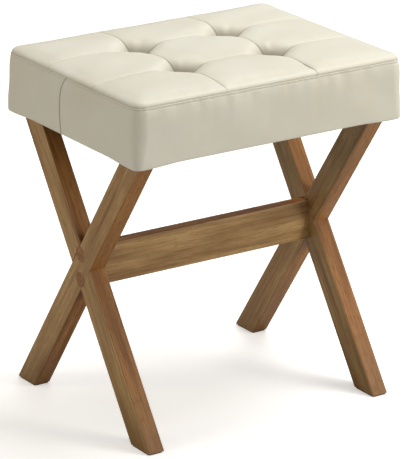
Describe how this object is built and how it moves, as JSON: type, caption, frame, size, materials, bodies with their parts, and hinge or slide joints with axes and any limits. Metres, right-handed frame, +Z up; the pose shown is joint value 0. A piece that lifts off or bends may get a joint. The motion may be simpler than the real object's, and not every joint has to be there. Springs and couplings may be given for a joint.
{
  "type": "vanity stool",
  "caption": "Backless stool with a tufted box cushion on two crossed wooden leg frames joined by a flat stretcher.",
  "frame": {"origin": "on the floor, midway between the four feet", "axes": "+X along the stretcher to the right, +Y to the back, +Z up"},
  "size_m": [0.413, 0.32, 0.4688],
  "materials": {
    "stained_wood": "oak with a medium brown stain under satin lacquer",
    "plug_wood": "end grain plug with the same stain, slightly darker",
    "plain_wood": "planed softwood, stained dark, hidden under the seat",
    "plywood": "raw plywood",
    "faux_leather": "smooth cream faux leather with a soft sheen",
    "foam": "open cell upholstery foam",
    "twine": "waxed twine",
    "dust_cloth": "black spunbonded cloth",
    "zinc_steel": "bright zinc plating",
    "pad_rubber": "dark brown felt faced rubber"
  },
  "bodies": {
    "root": {"stretcher": "stained_wood", "left_leg_front": "stained_wood", "left_leg_back": "stained_wood", "left_plug_lower": "plug_wood", "left_plug_upper": "plug_wood", "left_stretcher_bolts": "zinc_steel", "left_stretcher_washers": "zinc_steel", "left_stretcher_inserts": "zinc_steel", "left_cleat": "plain_wood", "left_cleat_screws": "zinc_steel", "left_seat_bolts": "zinc_steel", "left_seat_washers": "zinc_steel", "left_tee_nuts": "zinc_steel", "left_foot_pad_front": "pad_rubber", "left_foot_pad_back": "pad_rubber", "right_leg_front": "stained_wood", "right_leg_back": "stained_wood", "right_plug_lower": "plug_wood", "right_plug_upper": "plug_wood", "right_stretcher_bolts": "zinc_steel", "right_stretcher_washers": "zinc_steel", "right_stretcher_inserts": "zinc_steel", "right_cleat": "plain_wood", "right_cleat_screws": "zinc_steel", "right_seat_bolts": "zinc_steel", "right_seat_washers": "zinc_steel", "right_tee_nuts": "zinc_steel", "right_foot_pad_front": "pad_rubber", "right_foot_pad_back": "pad_rubber", "seat_board": "plywood", "foam_pad": "foam", "side_band": "faux_leather", "edge_welt": "faux_leather", "tuft_ties": "twine", "tuft_washers": "zinc_steel", "dust_cover": "dust_cloth", "top_panel_front_left": "faux_leather", "top_panel_front_centre": "faux_leather", "top_panel_front_right": "faux_leather", "top_panel_middle_left": "faux_leather", "top_panel_middle_centre": "faux_leather", "top_panel_middle_right": "faux_leather", "top_panel_back_left": "faux_leather", "top_panel_back_centre": "faux_leather", "top_panel_back_right": "faux_leather"}
  },
  "joints": []
}
